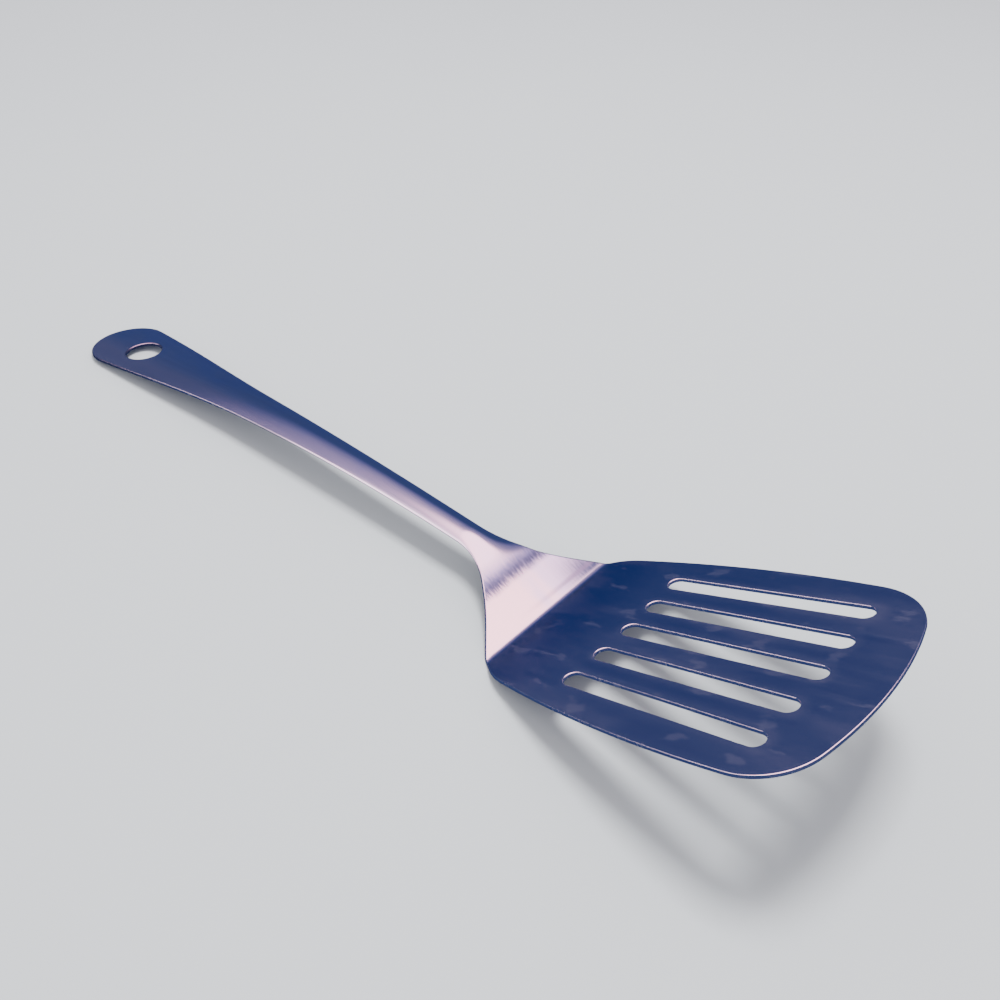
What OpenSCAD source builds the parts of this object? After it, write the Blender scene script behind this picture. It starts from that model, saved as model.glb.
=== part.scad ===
// Slotted fish spatula, pressed and bent from one sheet of stainless steel.
// It stands as it lies on a table: on the heel bend and on the end of the handle.
// The blade points to +X, +Z is up, and the origin is under the middle of the box.
// Each node is one forming zone of the sheet, and neighbours meet on one shared face.

/* [Sheet] */

// Thickness of the steel sheet
sheet_t = 1.2; // [0.8:0.1:2]
// Inner radius of the bend between blade and neck
bend_r = 2.5; // [1.5:0.5:5]

/* [Blade] */

// Length of the flat blade, from the heel bend to the middle of the front edge
blade_len = 104.6; // [98:0.2:120]
// Greatest width of the blade
blade_w = 80; // [72:0.5:92]
// Width of the heel, where the blade meets the bend
heel_w = 57.6; // [50:0.2:66]
// Distance from the heel to the widest place of the blade
widest_at = 76.5; // [66:0.5:80]
// How far the bowed sides would pass outside the heel's ends if no shoulder cut them off
shoulder_out = 2.2; // [1:0.1:4]
// Radius of the two shoulders beside the heel
shoulder_r = 20; // [12:0.5:30]
// Radius of the two front corners
corner_r = 18.5; // [10:0.5:22]
// Radius of the bowed front edge
front_r = 105; // [90:1:200]

/* [Slots] */

// Number of slots in the blade
slot_count = 5; // [3:1:5]
// Overall length of each slot
slot_len = 62.2; // [40:0.2:66]
// Width of each slot
slot_w = 5.8; // [4:0.1:6.5]
// Distance between neighbouring slots, half way along them
slot_pitch = 13; // [11:0.1:13.6]
// Angle that each slot turns outward from its inner neighbour
slot_fan = 1.4; // [0:0.1:1.6]
// Distance from the heel to the heel end of the middle slot
slot_start = 26.6; // [20:0.2:30]
// How far the slots next to the middle one stand back toward the heel
slot_back = 0.3; // [0:0.05:0.6]

/* [Neck] */

// Angle between the blade and the flat part of the neck
neck_angle = 46.5; // [40:0.5:54]
// Length of the flat part of the neck
neck_flat = 12.5; // [8:0.5:18]
// Length of the neck, from the heel bend to the narrowest place
neck_len = 34; // [30:0.5:56]
// Width at the narrowest place
throat_w = 10.1; // [9:0.1:16]
// How quickly the flare of the neck runs out; more is sharper
flare = 2.15; // [1.8:0.05:3]
// How gently the flare begins at the heel; 1 begins at once
flare_ease = 1.18; // [1:0.01:1.3]
// Distance from the heel bend to the small step across the neck
step_at = 13.5; // [8:0.5:16]
// Length of that step
step_len = 7.5; // [5:0.5:14]
// How much steeper the sheet gets in the middle of the step
step_angle = 10; // [0:1:20]

/* [Handle] */

// Length from the heel bend to the end of the handle, along the sheet
handle_len = 224.5; // [205:0.5:260]
// Angle between the blade and the handle where the neck ends
throat_angle = 25.2; // [18:0.2:28]
// Angle between the blade and the flat end of the handle
end_angle = 16.4; // [12:0.2:20]
// Height of the arched cross-section
arch_h = 2.6; // [1:0.1:4]
// Extra half width that the grip gains before it runs into the end
grip_gain = 6.6; // [2:0.1:7]
// Width of the rounded end
end_w = 28.2; // [24:0.2:36]
// Length of the flat end
end_len = 36; // [33:0.5:44]
// Diameter of the hanging hole
hole_d = 13.2; // [6:0.2:15]
// Distance from the end of the handle to the middle of the hole
hole_in = 23.8; // [18:0.2:25]
// Width of the broken edge round the hole, on the upper side
hole_break = 0.5; // [0.1:0.1:0.8]

/* [Hidden] */

$fn = 96;
// A cutter runs past the sheet by this much.
over = 1;
// Arcs that run into each other cross by this much, so that no gap is left between them.
cross_by = 0.002;
// Stations along the bend, the neck and the handle, and points across the sheet.
bend_n = 10;
neck_n = 32;
grip_n = 46;
cross_n = 16;
// Power by which the grip widens behind the throat.
grip_power = 1.75;
// Where the arch starts to fade into the flat end, as a share of the grip.
fade_from = 0.45;
// Where the grip starts to swell into the rounded end, as a share of the grip.
swell_from = 0.64;
// Steps along the sides of the flat end.
end_n = 10;
// Facets of the front circle, of the side circles and of a slot's ends.
front_fn = 720;
side_fn = 1440;
slot_fn = 48;

end_r = end_w / 2;
flat_from = handle_len - end_len;
round_at = handle_len - end_r;
grip_len = flat_from - neck_len;

// Both faces of the bend are struck from one centre above the heel.
bend_out = bend_r + sheet_t;
bend_len = bend_r * neck_angle * PI / 180;

function ease(t) = t <= 0 ? 0 : t >= 1 ? 1 : t * t * (3 - 2 * t);
function mix(a, b, t) = a + (b - a) * t;

// Slope of the sheet against the blade, at distance s behind the bend; below 0 it is in the bend.
function bump(t) = t <= 0 || t >= 1 ? 0 : pow(4 * t * (1 - t), 2);
function slope(s) = bent(s) + step_angle * bump((s - step_at) / step_len);
function bent(s) =
    s < 0 ? neck_angle * (1 + s / bend_len) :
    s < neck_flat ? neck_angle :
    s < neck_len ? mix(neck_angle, throat_angle, (s - neck_flat) / (neck_len - neck_flat)) :
    s < flat_from ? mix(throat_angle, end_angle, (s - neck_len) / grip_len) :
    end_angle;

// Half width of the sheet at distance s.
function flare_half(s) =
    s < neck_len ? (heel_w - throat_w) / 2 * pow(1 - pow(flare_t(s), flare_ease), flare) : 0;
function flare_t(s) = (s + bend_len) / (neck_len + bend_len);
function grip_half(s) =
    s > neck_len ? grip_gain * pow((s - neck_len) / (round_at - neck_len), grip_power) : 0;
function end_half(s) =
    (end_r - throat_w / 2 - grip_gain) * ease((s - swell_s) / (round_at - swell_s));
swell_s = neck_len + grip_len * swell_from;
function half_w(s) = throat_w / 2 + flare_half(s) + grip_half(s) + end_half(s);

// Height of the arch at distance s: none on the flats, full along the grip.
function arch(s) =
    arch_h * ease((s - neck_flat) / (neck_len - neck_flat))
    * (1 - ease((s - neck_len - grip_len * fade_from) / (grip_len * (1 - fade_from))));

// Corner points of the sheet's top face along its middle, from the bend to the flat end.
function along(from, to, n) = [for (i = [0:n]) mix(from, to, i / n)];
bend_s = along(-bend_len, 0, bend_n);
neck_s = along(0, neck_len, neck_n);
grip_s = along(neck_len, flat_from, grip_n);
function walk(start, list) = [
    for (i = 0, p = start; i < len(list);
        p = i + 1 < len(list) ? step(p, list[i], list[i + 1]) : p, i = i + 1) p
];
function step(p, a, b) = p + (b - a) * [-cos(slope((a + b) / 2)), sin(slope((a + b) / 2))];
bend_p = [for (s = bend_s) bend_r * [-sin(slope(s)), 1 - cos(slope(s))]];
neck_p = walk(bend_p[bend_n], neck_s);
throat_p = neck_p[neck_n];
grip_p = walk(throat_p, grip_s);
flat_p = grip_p[grip_n];
tip_p = flat_p + end_len * [-cos(end_angle), sin(end_angle)];

// The spatula tilts until the bend and the handle's lower end stand on the same level.
foot_p = tip_p - sheet_t * [sin(end_angle), cos(end_angle)];
reach = [foot_p[0], foot_p[1] - bend_r];
rest_tilt = atan2(reach[0], reach[1]) + acos(-bend_out / norm(reach));
function stand(p) =
    [p[0] * cos(rest_tilt) - p[1] * sin(rest_tilt), p[1] * cos(rest_tilt) + p[0] * sin(rest_tilt)];
rest_z = bend_out - stand([0, bend_r])[1];
front_x = stand([blade_len, -sheet_t])[0];
back_x = stand(tip_p)[0];
mid_x = (front_x + back_x) / 2;

module on_table() {
    translate([-mid_x, 0, rest_z])
        rotate([0, -rest_tilt, 0])
            children();
}

// Steel colour shared by all zones.
module steel() {
    color([0.72, 0.73, 0.75])
        children();
}

// Circles that bound the blade: one for the front edge and one for each side. A smaller circle
// rounds each front corner and each shoulder, and runs into its neighbours from inside.
function meet(p, r, q, t) =
    let (
        gap = q - p,
        d = norm(gap),
        u = (d * d + r * r - t * t) / (2 * d),
        v = sqrt(r * r - u * u)
    )
    p + gap / d * u + [-gap[1], gap[0]] / d * v;
function toward(p, q) = (q - p) / norm(q - p);
function on_side(p, side) = [p[0], side * p[1]];
side_rise = (blade_w - heel_w) / 2 - shoulder_out;
side_r = (widest_at * widest_at + side_rise * side_rise) / (2 * side_rise);
side_c = [widest_at, blade_w / 2 - side_r];
front_c = [blade_len - front_r, 0];
heel_end = [0, heel_w / 2];
corner_c = meet(front_c, front_r + cross_by - corner_r, side_c, side_r + cross_by - corner_r);
shoulder_c = meet(heel_end, shoulder_r, side_c, side_r + cross_by - shoulder_r);

module blade_outline() {
    intersection() {
        translate(front_c)
            circle(r = front_r, $fn = front_fn);
        translate(on_side(side_c, 1))
            circle(r = side_r, $fn = side_fn);
        translate(on_side(side_c, -1))
            circle(r = side_r, $fn = side_fn);
        translate([0, -blade_w])
            square([blade_len + over, 2 * blade_w]);
        rounded_ends();
    }
}

module rounded_ends() {
    difference() {
        translate([-over, -blade_w])
            square([blade_len + 2 * over, 2 * blade_w]);
        for (side = [-1, 1]) {
            waste(side, corner_c, corner_r, toward(front_c, corner_c), toward(side_c, corner_c));
            waste(side, shoulder_c, shoulder_r, toward(side_c, shoulder_c), toward(shoulder_c, heel_end));
        }
    }
    for (side = [-1, 1]) {
        translate(on_side(corner_c, side))
            circle(r = corner_r);
        translate(on_side(shoulder_c, side))
            circle(r = shoulder_r);
    }
}

// What rounding takes away, from the middle c of the arc to where the arc starts and ends.
module waste(side, c, r, from, to) {
    polygon([
        for (p = [[0, 0], 2 * r * to, 3 * r * (to + from), 2 * r * from])
            on_side(c + p, side)
    ]);
}

module slot() {
    run = slot_len - slot_w;
    translate([-run / 2, -slot_w / 2, -sheet_t - over])
        cube([run, slot_w, sheet_t + 2 * over]);
    for (side = [-1, 1])
        translate([side * run / 2, 0, -sheet_t - over])
            cylinder(d = slot_w, h = sheet_t + 2 * over, $fn = slot_fn);
}

module blade() {
    steel() on_table() difference() {
        translate([0, 0, -sheet_t])
            linear_extrude(height = sheet_t)
                blade_outline();
        for (i = [0:slot_count - 1]) {
            k = i - (slot_count - 1) / 2;
            translate([slot_start + slot_len / 2 - slot_back * k * k, slot_pitch * k, 0])
                rotate([0, 0, slot_fan * k])
                    slot();
        }
    }
}

// One cross-section of the arched sheet: the top row, then the bottom row.
function cross(p, s) =
    let (h = arch(s), w = half_w(s), a = slope(s), up = [sin(a), cos(a)])
    [
        for (layer = [0, 1], j = [0:cross_n])
            let (
                v = -1 + 2 * j / cross_n,
                lean = atan(-2 * h * v / w),
                rise = h * (1 - v * v) - layer * sheet_t * cos(lean),
                y = v * w + layer * sheet_t * sin(lean)
            )
            [p[0] + rise * up[0], y, p[1] + rise * up[1]]
    ];

// A closed skin over a row of cross-sections. The two cut ends are closed in narrow strips.
module pressed(points, stations) {
    n = cross_n + 1;
    m = 2 * n;
    last = len(stations) - 1;
    ring = [for (j = [0:cross_n]) j, for (j = [cross_n:-1:0]) j + n];
    grid = [for (i = [0:last]) each cross(points[i], stations[i])];
    polyhedron(
        points = grid,
        faces = concat(
            [for (i = [0:last - 1], k = [0:m - 1])
                let (a = i * m + ring[k], b = i * m + ring[(k + 1) % m])
                [a, b, b + m, a + m]],
            [for (j = [0:cross_n - 1]) [j, j + n, j + 1 + n, j + 1]],
            [for (j = [0:cross_n - 1], b = [last * m + j]) [b, b + 1, b + 1 + n, b + n]]
        ),
        convexity = 4
    );
}

module heel_bend() {
    steel() on_table()
        pressed(bend_p, bend_s);
}

module neck() {
    steel() on_table()
        pressed(neck_p, neck_s);
}

module handle() {
    steel() on_table()
        pressed(grip_p, grip_s);
}

// Flat rounded end, drawn lying on the blade's plane and then carried to the handle.
module hanging_end() {
    rows = along(flat_from, round_at, end_n);
    steel() on_table()
        translate([flat_p[0], 0, flat_p[1]])
            rotate([0, end_angle, 0])
                difference() {
                    translate([0, 0, -sheet_t])
                        linear_extrude(height = sheet_t) {
                            polygon([
                                for (s = rows) [flat_from - s, half_w(s)],
                                for (i = [end_n:-1:0]) [flat_from - rows[i], -half_w(rows[i])],
                            ]);
                            translate([flat_from - round_at, 0])
                                circle(r = end_r);
                        }
                    translate([hole_in - end_len, 0, -sheet_t - over])
                        cylinder(d = hole_d, h = sheet_t + 2 * over);
                    translate([hole_in - end_len, 0, -hole_break])
                        cylinder(
                            d1 = hole_d,
                            d2 = hole_d + 2 * (hole_break + over),
                            h = hole_break + over
                        );
                }
}

blade();
heel_bend();
neck();
handle();
hanging_end();
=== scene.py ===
"""Slotted fish spatula: one steel sheet, cut flat, pressed, folded and laid on a pale floor.

The sheet is drawn flat in millimetres, with the heel on x = 0, the blade toward +X and the
handle toward -X. It is then pressed, folded, stood on its heel and brought to metres.
"""
import math

import bmesh
import bpy
from mathutils import Matrix, Vector


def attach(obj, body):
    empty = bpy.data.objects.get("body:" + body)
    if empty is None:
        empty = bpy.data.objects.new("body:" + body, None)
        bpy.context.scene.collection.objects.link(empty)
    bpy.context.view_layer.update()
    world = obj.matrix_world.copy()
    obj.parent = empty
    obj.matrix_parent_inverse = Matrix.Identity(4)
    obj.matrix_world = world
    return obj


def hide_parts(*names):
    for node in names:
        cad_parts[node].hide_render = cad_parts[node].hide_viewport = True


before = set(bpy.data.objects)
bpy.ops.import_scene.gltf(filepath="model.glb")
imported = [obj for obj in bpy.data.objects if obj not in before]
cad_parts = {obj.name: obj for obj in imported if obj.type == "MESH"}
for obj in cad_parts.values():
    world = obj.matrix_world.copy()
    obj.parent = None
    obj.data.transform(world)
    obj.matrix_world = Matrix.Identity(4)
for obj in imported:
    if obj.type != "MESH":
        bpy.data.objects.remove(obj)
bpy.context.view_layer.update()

MM = 0.001
TINY = 0.01  # how near two places are taken to be the same, in millimetres

# Sizes of the sheet, the same as in the solids, in millimetres and degrees. A distance
# behind the bend is measured along the sheet.
SHEET_T = 1.2  # thickness
BEND_R = 2.5  # inner radius of the bend between blade and neck
BLADE_LEN = 104.6
BLADE_W = 80
HEEL_W = 57.6
WIDEST_AT = 76.5  # from the heel to the widest place of the blade
SHOULDER_OUT = 2.2  # how far the bowed sides would pass outside the heel's ends
SHOULDER_R = 20
CORNER_R = 18.5
FRONT_R = 105  # radius of the bowed front edge
SLOTS = 5
SLOT_LEN = 62.2
SLOT_W = 5.8
SLOT_PITCH = 13
SLOT_FAN = 1.4  # how far each slot turns outward from its inner neighbour
SLOT_START = 26.6  # from the heel to the near end of the middle slot
SLOT_BACK = 0.3  # how far the slots beside the middle one stand back
NECK_ANGLE = 46.5  # between the blade and the flat part of the neck
NECK_FLAT = 12.5
NECK_LEN = 34  # from the bend to the narrowest place, the throat
THROAT_W = 10.1
FLARE = 2.15  # how sharply the flare of the neck runs out
FLARE_EASE = 1.18  # how gently it begins at the heel
STEP_AT = 13.5  # from the bend to the small step across the neck
STEP_LEN = 7.5
STEP_ANGLE = 10  # how much steeper the sheet gets in the middle of the step
HANDLE_LEN = 224.5
THROAT_ANGLE = 25.2  # between the blade and the handle where the neck ends
END_ANGLE = 16.4  # between the blade and the flat end
ARCH_H = 2.6  # height of the pressed arch
GRIP_GAIN = 6.6  # extra half width that the grip gains before the end
GRIP_POWER = 1.75  # how late it gains it
FADE_FROM = 0.45  # where the arch starts to fade, as a share of the grip
SWELL_FROM = 0.64  # where the grip starts to swell, as a share of the grip
END_W = 28.2
END_LEN = 36  # length of the flat end
HOLE_D = 13.2
HOLE_IN = 23.8  # from the end of the handle to the middle of the hole

# Roundings. The solids have a chamfer on the hole's upper edge and are sharp elsewhere.
HOLE_BREAK = 0.42
RIM_R = 0.25

END_R = END_W / 2
FLAT_FROM = HANDLE_LEN - END_LEN
ROUND_AT = HANDLE_LEN - END_R
HOLE_AT = HANDLE_LEN - HOLE_IN
GRIP_LEN = FLAT_FROM - NECK_LEN
BEND_LEN = BEND_R * math.radians(NECK_ANGLE)
SLOTS_OUTER = 31  # from the blade's middle to a little past the outer slots

# How finely the sheet is divided
ACROSS = 20
BEND_STEPS = 10
NECK_STEPS = 52
GRIP_STEPS = 80
END_STEPS = 12
END_ROUND_STEPS = 64
HOLE_STEPS = 64
SHOULDER_STEPS = 20
SIDE_STEPS = 54
CORNER_STEPS = 32
FRONT_STEPS = 64
SLOT_STEPS = 40
MARGIN = 0.45  # width of the row of faces along every edge
HOLE_SEGMENTS = 4  # of the rounding
RIM_SEGMENTS = 3
RIM_ANGLE = 50  # edges sharper than this are rounded
SMOOTH_ANGLE = 35
FACE_SLOT, RIM_SLOT = 0, 1  # material slots of the sheet


def ease(t):
    t = min(max(t, 0), 1)
    return t * t * (3 - 2 * t)


def mix(a, b, t):
    return a + (b - a) * t


def slope(s):
    """Slope of the sheet against the blade, in degrees, at distance s behind the bend."""
    if s < 0:
        return NECK_ANGLE * (1 + s / BEND_LEN)
    if s > NECK_LEN:
        return mix(THROAT_ANGLE, END_ANGLE, min((s - NECK_LEN) / GRIP_LEN, 1))
    bent = mix(NECK_ANGLE, THROAT_ANGLE, max(s - NECK_FLAT, 0) / (NECK_LEN - NECK_FLAT))
    t = min(max((s - STEP_AT) / STEP_LEN, 0), 1)
    return bent + STEP_ANGLE * (4 * t * (1 - t)) ** 2


def half_width(s):
    """Half width of the sheet at distance s behind the bend."""
    w = THROAT_W / 2
    if s < NECK_LEN:
        t = max(s + BEND_LEN, 0) / (NECK_LEN + BEND_LEN)
        w += (HEEL_W - THROAT_W) / 2 * (1 - t ** FLARE_EASE) ** FLARE
    else:
        w += GRIP_GAIN * ((s - NECK_LEN) / (ROUND_AT - NECK_LEN)) ** GRIP_POWER
    swell_s = NECK_LEN + GRIP_LEN * SWELL_FROM
    swell = END_R - THROAT_W / 2 - GRIP_GAIN
    return w + swell * ease((s - swell_s) / (ROUND_AT - swell_s))


def arch(s):
    """Height of the pressed arch at distance s: none on the flats, full along the grip."""
    rise = ease((s - NECK_FLAT) / (NECK_LEN - NECK_FLAT))
    fade = ease(((s - NECK_LEN) / GRIP_LEN - FADE_FROM) / (1 - FADE_FROM))
    return ARCH_H * rise * (1 - fade)


def behind(x):
    """Distance behind the bend of a place on the flat blank."""
    return -BEND_LEN - x


def on_blank(s):
    """Place on the flat blank at distance s behind the bend."""
    return -BEND_LEN - s


# Bench work: small wrappers round the edit mode operators
def deselect_all():
    for obj in bpy.context.selected_objects:
        obj.select_set(False)


def pick(test, kind="VERT"):
    """Selects what is shown and passes the test, in edit mode, and nothing else."""
    obj = bpy.context.edit_object
    bpy.ops.mesh.select_mode(type=kind)
    bm = bmesh.from_edit_mesh(obj.data)
    parts = {"VERT": bm.verts, "EDGE": bm.edges}[kind]
    found = [e for e in parts if not e.hide and test(e)]
    for seq in (bm.faces, bm.edges, bm.verts):
        for e in seq:
            e.select = False
    for e in found:
        e.select_set(True)
    bm.select_flush_mode()
    bmesh.update_edit_mesh(obj.data)


def move(x=0, y=0, z=0):
    bpy.ops.transform.translate(value=(x, y, z))


def turn(degrees, axis, centre):
    """Turns the selection counterclockwise, seen with the axis toward the viewer.

    With no window the operator turns the other way, so the angle is negated.
    """
    bpy.ops.transform.rotate(
        value=-math.radians(degrees), orient_axis=axis, center_override=centre)


def arc(centre, degrees, steps):
    """Draws an arc of edges from the selected point round a centre."""
    bpy.ops.mesh.spin(
        steps=steps, angle=math.radians(degrees), center=(*centre, 0), axis=(0, 0, 1))


# The flat blank: drawn as one sheet and cut
def one_point(x, y):
    """Adds a single point to the drawing and leaves it selected."""
    bpy.ops.mesh.select_all(action="DESELECT")
    bpy.ops.mesh.primitive_plane_add(size=TINY, location=(x, y, 0))
    bpy.ops.mesh.merge(type="CENTER")


def circles_meet(c0, r0, c1, r1):
    """Upper point at which two circles cross."""
    gap = c1 - c0
    along = (gap.length ** 2 + r0 ** 2 - r1 ** 2) / (2 * gap.length)
    unit = gap.normalized()
    return c0 + along * unit + math.sqrt(r0 ** 2 - along ** 2) * Vector((-unit.y, unit.x))


def angle_of(v):
    return math.degrees(math.atan2(v.y, v.x))


def draw_blade_edge():
    """The blade's outline, arc by arc, from one end of the heel to the other."""
    rise = (BLADE_W - HEEL_W) / 2 - SHOULDER_OUT
    side_r = (WIDEST_AT ** 2 + rise ** 2) / (2 * rise)
    heel = Vector((0, HEEL_W / 2))
    side_c = Vector((WIDEST_AT, BLADE_W / 2 - side_r))
    front_c = Vector((BLADE_LEN - FRONT_R, 0))
    shoulder_c = circles_meet(heel, SHOULDER_R, side_c, side_r - SHOULDER_R)
    corner_c = circles_meet(front_c, FRONT_R - CORNER_R, side_c, side_r - CORNER_R)
    to_heel, to_side = angle_of(heel - shoulder_c), angle_of(shoulder_c - side_c)
    to_corner, to_front = angle_of(corner_c - side_c), angle_of(corner_c - front_c)
    rounds = [(shoulder_c, to_heel - to_side, SHOULDER_STEPS),
              (side_c, to_side - to_corner, SIDE_STEPS),
              (corner_c, to_corner - to_front, CORNER_STEPS)]
    one_point(*heel)
    for centre, degrees, steps in rounds:
        arc(centre, degrees, steps)
    arc(front_c, 2 * to_front, FRONT_STEPS)
    for centre, degrees, steps in reversed(rounds):
        arc((centre.x, -centre.y), degrees, steps)


def draw_slot(k):
    """A slot's outline: a circle whose halves are pulled apart, then turned into the fan.

    Slot 0 is in the middle, and k counts outward to both sides.
    """
    x = SLOT_START + SLOT_LEN / 2 - SLOT_BACK * k * k
    y = SLOT_PITCH * k
    bpy.ops.mesh.select_all(action="DESELECT")
    bpy.ops.mesh.primitive_circle_add(
        vertices=SLOT_STEPS, radius=SLOT_W / 2, location=(x, y, 0),
        rotation=(0, 0, math.pi / SLOT_STEPS))
    bpy.ops.mesh.hide(unselected=True)
    for side in (-1, 1):
        pick(lambda v: (v.co.x - x) * side > 0)
        move(x=side * (SLOT_LEN - SLOT_W) / 2)
    bpy.ops.mesh.select_all(action="SELECT")
    turn(SLOT_FAN * k, "Z", (x, y, 0))
    bpy.ops.mesh.reveal(select=False)


def draw_strip():
    """Neck and handle as one strip, row by row from the heel, each row pulled to its width."""
    rows = [BEND_LEN * i / BEND_STEPS - BEND_LEN for i in range(1, BEND_STEPS + 1)]
    rows += [NECK_LEN * i / NECK_STEPS for i in range(1, NECK_STEPS + 1)]
    rows += [NECK_LEN + GRIP_LEN * i / GRIP_STEPS for i in range(1, GRIP_STEPS + 1)]
    bpy.ops.mesh.primitive_grid_add(x_subdivisions=1, y_subdivisions=ACROSS, size=HEEL_W)
    pick(lambda v: v.co.x < 0)
    bpy.ops.mesh.delete(type="VERT")
    bpy.ops.mesh.select_all(action="SELECT")
    move(x=-HEEL_W / 2)
    s = -BEND_LEN
    for row in rows:
        bpy.ops.mesh.extrude_region_move(TRANSFORM_OT_translate={"value": (s - row, 0, 0)})
        bpy.ops.transform.resize(
            value=(1, half_width(row) / half_width(s), 1), center_override=(0, 0, 0))
        s = row
    return rows


def draw_end():
    """The flat end: its two sides, its round, and the hanging hole."""
    x0 = on_blank(FLAT_FROM)
    for side in (1, -1):
        pick(lambda v: abs(v.co.x - x0) < TINY and v.co.y * side > half_width(FLAT_FROM) - TINY)
        s = FLAT_FROM
        for i in range(1, END_STEPS + 1):
            row = mix(FLAT_FROM, ROUND_AT, i / END_STEPS)
            bpy.ops.mesh.extrude_region_move(TRANSFORM_OT_translate={
                "value": (s - row, side * (half_width(row) - half_width(s)), 0)})
            s = row
    arc((on_blank(ROUND_AT), 0), 180, END_ROUND_STEPS)
    bpy.ops.mesh.primitive_circle_add(
        vertices=HOLE_STEPS, radius=HOLE_D / 2, location=(on_blank(HOLE_AT), 0, 0))


def fill_between(x_from, x_to):
    """Fills the open outlines between two places along the sheet, round the holes in them."""
    pick(lambda e: len(e.link_faces) < 2 and all(
        x_from - TINY < v.co.x < x_to + TINY for v in e.verts), "EDGE")
    bpy.ops.mesh.fill(use_beauty=True)


def cut_blank():
    """The whole sheet, flat, with its slots and its hole, and a narrow margin along every edge.

    Its first material slot is for the faces and its second for the rims.
    """
    bpy.ops.mesh.primitive_plane_add()
    sheet = bpy.context.object
    sheet.name = "spatula"
    sheet.data.materials.append(None)
    sheet.data.materials.append(None)
    bpy.ops.object.mode_set(mode="EDIT")
    bpy.ops.mesh.delete(type="VERT")
    rows = draw_strip()
    draw_end()
    draw_blade_edge()
    for i in range(SLOTS):
        draw_slot(i - (SLOTS - 1) / 2)
    bpy.ops.mesh.select_all(action="SELECT")
    bpy.ops.mesh.remove_doubles(threshold=TINY)
    fill_between(0, BLADE_LEN)
    fill_between(on_blank(HANDLE_LEN), on_blank(FLAT_FROM))
    bpy.ops.mesh.select_all(action="SELECT")
    bpy.ops.mesh.normals_make_consistent(inside=False)
    bpy.ops.mesh.inset(thickness=MARGIN, use_boundary=True, use_even_offset=True)
    return sheet, rows


# Pressing, folding and finishing
def lay_pattern(sheet):
    """Keeps each point's place on the flat blank, in millimetres, as the sheet's own map."""
    mesh = sheet.data
    blank = mesh.uv_layers.new(name="blank")
    for loop in mesh.loops:
        x, y, _ = mesh.vertices[loop.vertex_index].co
        blank.data[loop.index].uv = (x, y)


def press_arch(sheet):
    """Presses the neck and the handle into an arch that is highest along the middle."""
    raised = sheet.vertex_groups.new(name="arch")
    for v in sheet.data.vertices:
        s = behind(v.co.x)
        across = min(abs(v.co.y) / half_width(s), 1)
        share = arch(s) * (1 - across ** 2) / ARCH_H
        if s > 0 and share > 0:
            raised.add([v.index], share, "REPLACE")
    shape(sheet, "DISPLACE", direction="Z", strength=ARCH_H, mid_level=0, vertex_group="arch")


def shape(obj, kind, **settings):
    """Adds a modifier with its settings and applies it."""
    modifier = obj.modifiers.new(kind.title(), kind)
    for name, value in settings.items():
        setattr(modifier, name, value)
    bpy.ops.object.modifier_apply(modifier=modifier.name)


def fold_sheet(rows):
    """Folds the sheet upward row by row, from the far end of the handle to the heel."""
    stops = [-BEND_LEN] + rows
    slopes = [0] + [slope((a + b) / 2) for a, b in zip(stops, stops[1:])] + [END_ANGLE]
    for i in reversed(range(len(stops))):
        x = on_blank(stops[i])
        pick(lambda v: v.co.x < x - TINY)
        turn(slopes[i + 1] - slopes[i], "Y", (x, 0, 0))


def hole_rim(sheet):
    """The points round the hanging hole of the flat blank."""
    middle = Vector((on_blank(HOLE_AT), 0, 0))
    return {v.index for v in sheet.data.vertices if (v.co - middle).length < HOLE_D / 2 + TINY}


def round_hole(rim):
    """Rounds the hole's upper edge wider than the other edges."""
    bpy.ops.object.mode_set(mode="EDIT")
    pick(lambda e: all(v.index in rim for v in e.verts), "EDGE")
    bpy.ops.mesh.bevel(
        offset=HOLE_BREAK, segments=HOLE_SEGMENTS, affect="EDGES", material=RIM_SLOT)
    bpy.ops.object.mode_set(mode="OBJECT")


def stand_up(sheet):
    """Tilts the sheet until the heel and the handle's lower end rest on the table."""
    out_r = BEND_R + SHEET_T
    end = min((v.co for v in sheet.data.vertices), key=lambda co: co.x)
    a = math.radians(END_ANGLE)
    reach = end - SHEET_T * Vector((math.sin(a), 0, math.cos(a))) - Vector((0, 0, BEND_R))
    tilt = math.atan2(reach.x, reach.z) + math.acos(-out_r / math.hypot(reach.x, reach.z))
    front = Vector((BLADE_LEN, 0, -SHEET_T))
    bpy.ops.object.mode_set(mode="EDIT")
    bpy.ops.mesh.select_all(action="SELECT")
    turn(-math.degrees(tilt), "Y", (0, 0, 0))
    flip = Matrix.Rotation(-tilt, 3, "Y")
    front_x, back_x = (flip @ front).x, (flip @ end).x
    move(x=-(front_x + back_x) / 2, z=out_r - (flip @ Vector((0, 0, BEND_R))).z)
    bpy.ops.object.mode_set(mode="OBJECT")


def to_metres():
    """Brings the drawing from millimetres to metres."""
    bpy.ops.object.mode_set(mode="EDIT")
    bpy.ops.mesh.select_all(action="SELECT")
    bpy.ops.transform.resize(value=(MM, MM, MM), center_override=(0, 0, 0))
    bpy.ops.object.mode_set(mode="OBJECT")


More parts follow.
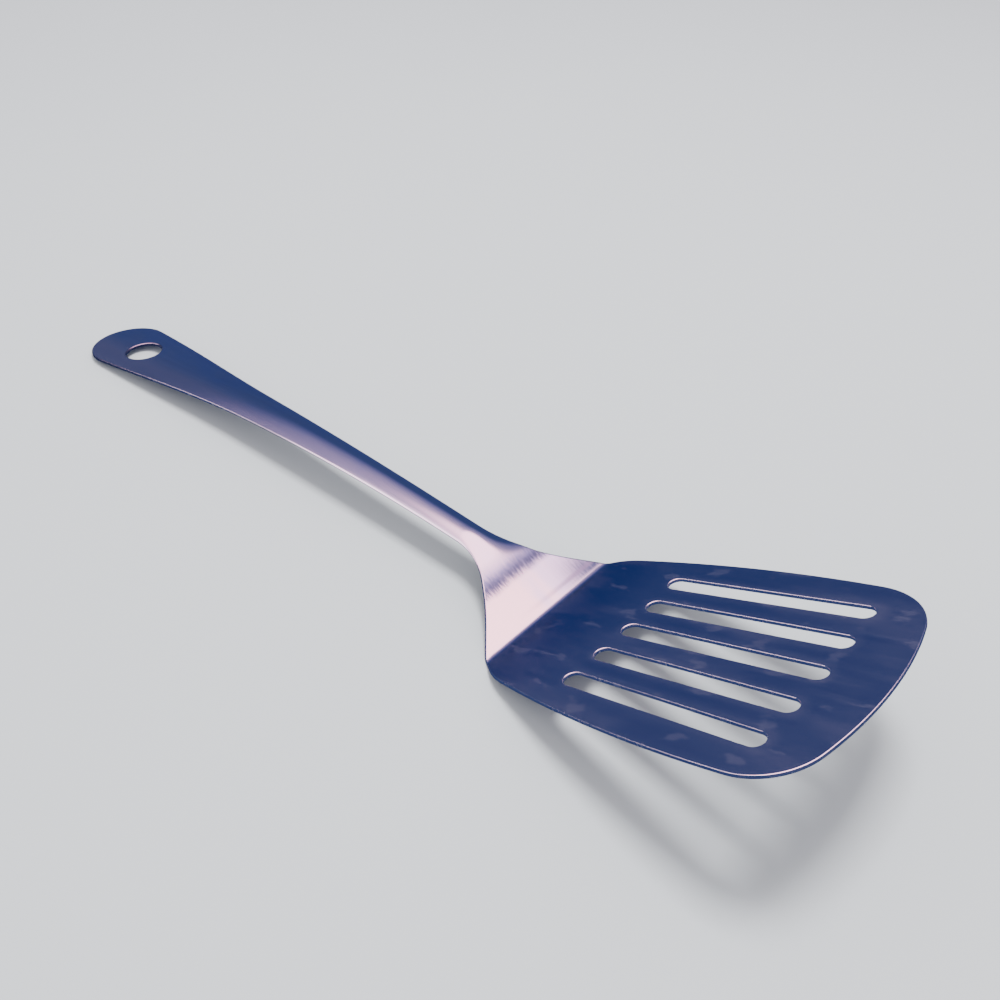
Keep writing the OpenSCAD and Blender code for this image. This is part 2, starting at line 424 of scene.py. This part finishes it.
def press_spatula():
    """The finished sheet, from the flat blank to the rounded edges."""
    deselect_all()
    sheet, rows = cut_blank()
    bpy.ops.object.mode_set(mode="OBJECT")
    lay_pattern(sheet)
    rim = hole_rim(sheet)
    press_arch(sheet)
    bpy.ops.object.mode_set(mode="EDIT")
    fold_sheet(rows)
    bpy.ops.object.mode_set(mode="OBJECT")
    stand_up(sheet)
    shape(sheet, "SOLIDIFY", thickness=SHEET_T, offset=-1, use_even_offset=True,
          use_quality_normals=True, material_offset_rim=RIM_SLOT)
    round_hole(rim)
    shape(sheet, "BEVEL", width=RIM_R, segments=RIM_SEGMENTS, limit_method="ANGLE",
          angle_limit=math.radians(RIM_ANGLE), material=RIM_SLOT, use_clamp_overlap=False)
    to_metres()
    bpy.ops.object.shade_smooth_by_angle(angle=math.radians(SMOOTH_ANGLE))
    shape(sheet, "WEIGHTED_NORMAL", keep_sharp=True)
    return sheet


# Shader maths: a wrapped socket that understands + - * /
class Wire:
    def __init__(self, paint, socket):
        self.paint, self.socket = paint, socket

    def maths(self, operation, *values):
        return self.paint.node("ShaderNodeMath", {"operation": operation}, *values)

    def __add__(self, other):
        return self.maths("ADD", self, other)

    def __sub__(self, other):
        return self.maths("SUBTRACT", self, other)

    def __rsub__(self, other):
        return self.maths("SUBTRACT", other, self)

    def __mul__(self, other):
        return self.maths("MULTIPLY", self, other)

    def __truediv__(self, other):
        return self.maths("DIVIDE", self, other)

    def __rtruediv__(self, other):
        return self.maths("DIVIDE", other, self)

    def __pow__(self, other):
        return self.maths("POWER", self, other)

    def __rpow__(self, other):
        return self.maths("POWER", other, self)

    __radd__ = __add__
    __rmul__ = __mul__

    def absolute(self):
        return self.maths("ABSOLUTE", self)

    def rounded(self):
        return self.maths("ROUND", self)

    def at_least(self, least):
        return self.maths("MAXIMUM", self, least)


class Paint:
    """The node tree of a material or of the world, while it is being painted."""

    def __init__(self, owner):
        owner.use_nodes = True
        self.tree = owner.node_tree
        self.tree.nodes.clear()

    def node(self, kind, settings, *values, out=0, **named):
        """Adds a node. Values go to its first inputs in order, named ones by their names."""
        made = self.tree.nodes.new(kind)
        for name, value in settings.items():
            if name == "stops":
                for i, (at, colour) in enumerate(value):
                    stop = (made.color_ramp.elements[i] if i < 2
                            else made.color_ramp.elements.new(at))
                    stop.position, stop.color = at, colour
            else:
                setattr(made, name, value)
        given = list(zip(made.inputs, values))
        given += [(made.inputs[name.replace("_", " ")], value) for name, value in named.items()]
        for socket, value in given:
            if isinstance(value, Wire):
                self.tree.links.new(value.socket, socket)
            else:
                socket.default_value = value
        return Wire(self, made.outputs[out]) if made.outputs else None

    def blend(self, share, a, b):
        """A colour between a and b."""
        made = self.tree.nodes.new("ShaderNodeMix")
        made.data_type = "RGBA"
        sockets = [made.inputs[0]] + [i for i in made.inputs if i.type == "RGBA"]
        for socket, value in zip(sockets, (share, a, b)):
            if isinstance(value, Wire):
                self.tree.links.new(value.socket, socket)
            else:
                socket.default_value = value
        return Wire(self, [o for o in made.outputs if o.type == "RGBA"][0])

    def span(self, value, low, high):
        """Eases from 0 at low to 1 at high, and stays level past both. low may be the larger."""
        return self.node("ShaderNodeMapRange", {"interpolation_type": "SMOOTHSTEP"},
                         value, low, high)


def sheet_map(paint, scale, turned=0, moved=(0, 0, 0)):
    """The flat blank's own coordinates in millimetres, turned, scaled and moved for a pattern."""
    uv = paint.node("ShaderNodeUVMap", {"uv_map": "blank"})
    return paint.node("ShaderNodeMapping", {}, uv, moved,
                      (0, 0, math.radians(turned)), (*scale, 1))


def on_sheet(paint, axis):
    """Distance along (0) or across (1) the flat blank, in millimetres."""
    uv = paint.node("ShaderNodeUVMap", {"uv_map": "blank"})
    return paint.node("ShaderNodeSeparateXYZ", {}, uv, out=axis)


def noise(paint, where, detail=2, rough=0.5):
    """Cloudy values from 0 to 1, over a flat pattern."""
    return paint.node("ShaderNodeTexNoise", {"noise_dimensions": "2D"}, where,
                      Scale=1, Detail=detail, Roughness=rough)


def near_slots(paint, x, y):
    """1 at the slots' edges, falling to 0 a few millimetres away from them."""
    along = x - SLOT_START - SLOT_LEN / 2
    fan = 1 + along * math.radians(SLOT_FAN) / SLOT_PITCH
    lane = y / (fan * SLOT_PITCH)
    off = (lane - lane.rounded()) * SLOT_PITCH
    past = (along.absolute() - (SLOT_LEN - SLOT_W) / 2).at_least(0)
    away = (off * off + past * past) ** 0.5
    among_slots = paint.span(y.absolute(), SLOTS_OUTER + 3, SLOTS_OUTER)
    return paint.span(away, SLOT_W / 2 + 3.2, SLOT_W / 2 - 0.5) * among_slots


# Tints of the sheet. The grain and the bright rims are the steel and its wear.
# The rest stand for the colours of its surroundings: painted reflection for the blade's blue
# and the neck's warm and cool tints, painted shade under the neck, at the step, at the far
# corner, along the fold, on the grip's end and on the rims' end.
GRAIN_DARK = (0.76, 0.72, 0.76, 1)
GRAIN_LIGHT = (0.88, 0.83, 0.86, 1)
BLADE_PAINTED_REFLECTION = (0.50, 0.54, 0.68, 1)
UNDER_NECK_PAINTED_SHADE = (0.20, 0.30, 0.56, 1)
NECK_WARM_REFLECTION = (1.00, 0.84, 0.76, 1)
NECK_COOL_REFLECTION = (0.60, 0.68, 0.90, 1)
STEP_PAINTED_SHADE = (0.14, 0.20, 0.38, 1)
STEP_FOOT_SHADE = (0.035, 0.050, 0.090, 1)
CORNER_SHADE = (0.05, 0.08, 0.14, 1)
FOLD_SHADE = (0.20, 0.20, 0.28, 1)
PALM_PAINTED_SHADE = (0.60, 0.50, 0.56, 1)
GREASE_MAUVE = (0.52, 0.42, 0.50, 1)
RIM_WORN = (0.80, 0.78, 0.78, 1)
RIM_BRIGHT = (0.92, 0.90, 0.90, 1)
RIM_END_SHADE = (0.26, 0.23, 0.28, 1)


def brushed_steel():
    """Satin sheet brushed lengthwise, with film, worn step, spots, scratches, painted reflection
    and shade.

    x runs from the heel toward the blade's front, y across and back behind the bend. All
    three are in millimetres on the flat blank.
    """
    material = bpy.data.materials.new("brushed_sheet")
    paint = Paint(material)
    span, blend = paint.span, paint.blend
    x, y = on_sheet(paint, 0), on_sheet(paint, 1)
    back = behind(x)
    on_neck = span(x, -1, -3)
    on_blade = span(x, -2, 1)
    hair = noise(paint, sheet_map(paint, (0.05, 1.9)), detail=3, rough=0.6)
    grain = noise(paint, sheet_map(paint, (0.018, 0.40)), detail=4, rough=0.6)
    clouds = noise(paint, sheet_map(paint, (0.020, 0.065), turned=6), detail=4, rough=0.6)
    blots = noise(paint, sheet_map(paint, (0.09, 0.16), moved=(7, 3, 0)), detail=3)
    strokes = noise(paint, sheet_map(paint, (0.22, 2.4), moved=(4, 9, 0)), detail=4, rough=0.7)
    strokes = span(strokes, 0.32, 0.68)

    # The step across the neck is rubbed in short strokes, with painted shade on it: dark at its
    # foot, blue above.
    frayed = back + (strokes - 0.5) * 0.5 + (blots - 0.5) * 1.6
    foot = span(frayed, 11.2, 15.4)
    rubbed_and_shaded = foot * span(frayed, 23.5, 15.5)
    step_foot_shade = foot * span(frayed, 19, 14.5)
    # Painted shade: the neck's far corner by the heel is darkened.
    far_corner_shade = span(y, 5, 24) * span(back + (blots - 0.5) * 6, 14, 1) * on_neck
    # Painted reflection: warm tints on the near side of the neck, cool tints on the far side.
    warm_reflection = span(y + (blots - 0.5) * 22, 9, -9) * span(back, 16, 11) * on_neck
    cool_reflection = span(y + (blots - 0.5) * 22, -4, 16) * on_neck
    # Painted shade: a dark line along the crease of the fold.
    fold_shade = span(back, 3.8, 2.5) * span(back, 1.3, 2.3) * span(y, -12, 20) * on_neck
    # Painted shade: the blade is darker and bluer where it lies under the neck.
    under_neck_shade = span(x, 26, 6) * on_blade
    # Grease on the grip's near side toward the end, and painted shade dimming it there.
    palm_grease_and_shade = span(x, -85, -150) * span(y + (grain - 0.5) * 8, 3, -6)

    colour = blend(grain, GRAIN_DARK, GRAIN_LIGHT)
    # Painted reflection: the blade's faces are a dark blue-grey.
    colour = blend(on_blade * 0.85, colour, BLADE_PAINTED_REFLECTION)
    colour = blend(under_neck_shade * 0.8, colour, UNDER_NECK_PAINTED_SHADE)
    colour = blend(warm_reflection * 0.75, colour, NECK_WARM_REFLECTION)
    colour = blend(cool_reflection * 0.6, colour, NECK_COOL_REFLECTION)
    colour = blend(rubbed_and_shaded * (0.66 + strokes * 0.34), colour, STEP_PAINTED_SHADE)
    colour = blend(step_foot_shade * (0.55 + strokes * 0.4), colour, STEP_FOOT_SHADE)
    colour = blend(far_corner_shade * (0.86 + strokes * 0.2), colour, CORNER_SHADE)
    colour = blend(fold_shade * 0.7, colour, FOLD_SHADE)
    colour = blend(palm_grease_and_shade * 0.4, colour, PALM_PAINTED_SHADE)

    # Dried water spots, short nicks and a thin greasy film, stronger round the slots.
    spots = noise(paint, sheet_map(paint, (0.10, 0.19), moved=(2, 5, 0)), detail=3)
    spots = span(spots, 0.63, 0.71)
    nicks = span(noise(paint, sheet_map(paint, (0.30, 1.1), turned=15)), 0.77, 0.82)
    film = span(clouds, 0.40, 0.68) * 0.014 + near_slots(paint, x, y) * 0.014
    film = film + span(x, 50, 106) * 0.007 + span(y, -4, -42) * 0.007 + 0.001
    film = film * on_blade * (0.1 + grain * 1.2 + hair * 0.6) + spots * 0.018 * on_blade
    film = film + span(x, -150, -205) * 0.004 + palm_grease_and_shade * clouds * 0.016
    film = film + nicks * span(blots, 0.52, 0.62) * on_blade * 0.06

    rough = 0.12 + grain * 0.07 + rubbed_and_shaded * 0.10 + palm_grease_and_shade * 0.08 + spots * on_blade * 0.04
    height = hair * 0.45 + grain * 0.9 + strokes * rubbed_and_shaded * 0.9
    bump = paint.node("ShaderNodeBump", {}, Strength=0.14, Distance=0.06 * MM, Height=height)
    steel = paint.node("ShaderNodeBsdfPrincipled", {}, Base_Color=colour, Metallic=1,
                       Roughness=rough, Normal=bump)
    grease = paint.node("ShaderNodeBsdfPrincipled", {}, Base_Color=GREASE_MAUVE,
                        Roughness=0.5, Normal=bump)
    mixed = paint.node("ShaderNodeMixShader", {}, film, steel, grease)
    paint.node("ShaderNodeOutputMaterial", {}, mixed)
    return material


def burnished_rim():
    """Cut edges, worn brighter than the faces, with painted shade toward the hanging end."""
    material = bpy.data.materials.new("burnished_rim")
    paint = Paint(material)
    wear = noise(paint, sheet_map(paint, (0.3, 0.3)), detail=3)
    x = on_sheet(paint, 0)
    colour = paint.blend(wear, RIM_WORN, RIM_BRIGHT)
    # Painted shade: the rims darken toward the hanging end.
    colour = paint.blend(paint.span(x, -150, -212) * 0.85, colour, RIM_END_SHADE)
    shader = paint.node("ShaderNodeBsdfPrincipled", {}, Base_Color=colour, Metallic=1,
                        Roughness=0.2 + wear * 0.12)
    paint.node("ShaderNodeOutputMaterial", {}, shader)
    return material


sheet = press_spatula()
sheet.data.materials[FACE_SLOT] = brushed_steel()
sheet.data.materials[RIM_SLOT] = burnished_rim()

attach(sheet, "root")
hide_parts("blade", "heel_bend", "neck", "handle", "hanging_end")


# The studio, in metres
FLOOR_SIZE = 6
PAPER_DARK = (0.43, 0.45, 0.47, 1)
PAPER_LIGHT = (0.45, 0.47, 0.49, 1)

KEY_AT = (-0.03, 0.22, 1.10)
KEY_SIZE = 0.36
KEY_WATTS = 24

PLAIN_WHITE = (0.97, 0.98, 1, 1)
PLAIN_POWER = 1.5

# What the steel mirrors: a ramp away from the large light, from the dark room to the light.
SHINE_POWER = 4.5
LARGE_LIGHT_WAY = (0.557, -0.321, 0.766)
ROOM_AND_LIGHT = [
    (0.00, (0.0050, 0.0100, 0.040, 1)), (1.00, (0.96, 0.59, 0.80, 1)),
    (0.14, (0.009, 0.014, 0.048, 1)), (0.25, (0.020, 0.023, 0.066, 1)),
    (0.40, (0.055, 0.048, 0.105, 1)), (0.57, (0.120, 0.093, 0.170, 1)),
    (0.60, (0.500, 0.310, 0.450, 1)), (0.63, (1.000, 0.570, 0.730, 1))]
LOW_ROOM_BLUE = (0.007, 0.012, 0.042, 1)
STRIP_WAY = (-0.601, -0.668, 0.438)
STRIP_PINK = (0.90, 0.66, 0.84, 1)

# The camera stands where the photograph was taken from, as far as a fit can tell.
CAMERA_AT = (0.19617, -0.18951, 0.23237)
CAMERA_TURN = 39.149
CAMERA_DOWN = 39.410
CAMERA_ROLL = 2.759
SENSOR_MM = 36
FOCAL_PX = 1102.8
IMAGE_PX = 1000
NEAREST = 0.01


def studio_floor():
    """Pale paper with faint clouds, which the steel doesn't mirror."""
    deselect_all()
    bpy.ops.mesh.primitive_plane_add(size=FLOOR_SIZE)
    floor = bpy.context.object
    floor.name = "studio_floor"
    material = bpy.data.materials.new("pale_paper")
    paint = Paint(material)
    place = paint.node("ShaderNodeTexCoord", {}, out="Object")
    cloud = paint.node("ShaderNodeTexNoise", {}, place, Scale=3, Detail=2)
    colour = paint.blend(cloud, PAPER_DARK, PAPER_LIGHT)
    shader = paint.node("ShaderNodeBsdfPrincipled", {}, Base_Color=colour, Roughness=0.6)
    paint.node("ShaderNodeOutputMaterial", {}, shader)
    floor.data.materials.append(material)
    floor.visible_glossy = False


def studio_sky():
    """Plain white light for all but reflections, which see a tinted room instead.

    The room is a large pink light overhead, a soft strip low at the side, and dusky blue
    walls round them.
    """
    world = bpy.data.worlds.new("soft_studio")
    bpy.context.scene.world = world
    paint = Paint(world)
    way = paint.node("ShaderNodeTexCoord", {})

    def facing(direction):
        """Cosine of the angle to a direction."""
        return paint.node("ShaderNodeVectorMath", {"operation": "DOT_PRODUCT"},
                          way, Vector(direction).normalized(), out="Value")

    room = paint.node("ShaderNodeValToRGB", {"stops": ROOM_AND_LIGHT},
                      0.25 + 0.75 * facing(LARGE_LIGHT_WAY))
    low = paint.span(facing((0, 0, 1)), 0.62, 0.38)
    room = paint.blend(low, room, LOW_ROOM_BLUE)
    strip = paint.span(facing(STRIP_WAY), 0.955, 0.985)
    room = paint.blend(strip, room, STRIP_PINK)
    shine = paint.node("ShaderNodeBackground", {}, room, SHINE_POWER)
    plain = paint.node("ShaderNodeBackground", {}, PLAIN_WHITE, PLAIN_POWER)
    glossy = paint.node("ShaderNodeLightPath", {}, out="Is Glossy Ray")
    light = paint.node("ShaderNodeMixShader", {}, glossy, plain, shine)
    paint.node("ShaderNodeOutputWorld", {}, light)


def key_light():
    """A square lamp high up, aimed at the middle of the spatula, which the steel doesn't mirror."""
    bpy.ops.object.light_add(type="AREA", location=KEY_AT)
    key = bpy.context.object
    key.name = "key_light"
    key.data.size = KEY_SIZE
    key.data.energy = KEY_WATTS
    key.visible_glossy = False
    key.rotation_euler = (-Vector(KEY_AT)).to_track_quat("-Z", "Y").to_euler()


def camera():
    bpy.ops.object.camera_add(location=CAMERA_AT)
    cam = bpy.context.object
    cam.data.sensor_width = SENSOR_MM
    cam.data.lens = SENSOR_MM * FOCAL_PX / IMAGE_PX
    cam.data.clip_start = NEAREST
    aim = (Matrix.Rotation(math.radians(CAMERA_TURN), 3, "Z")
           @ Matrix.Rotation(math.radians(90 - CAMERA_DOWN), 3, "X")
           @ Matrix.Rotation(math.radians(CAMERA_ROLL), 3, "Z"))
    cam.rotation_euler = aim.to_euler()
    bpy.context.scene.camera = cam


studio_floor()
studio_sky()
key_light()
camera()
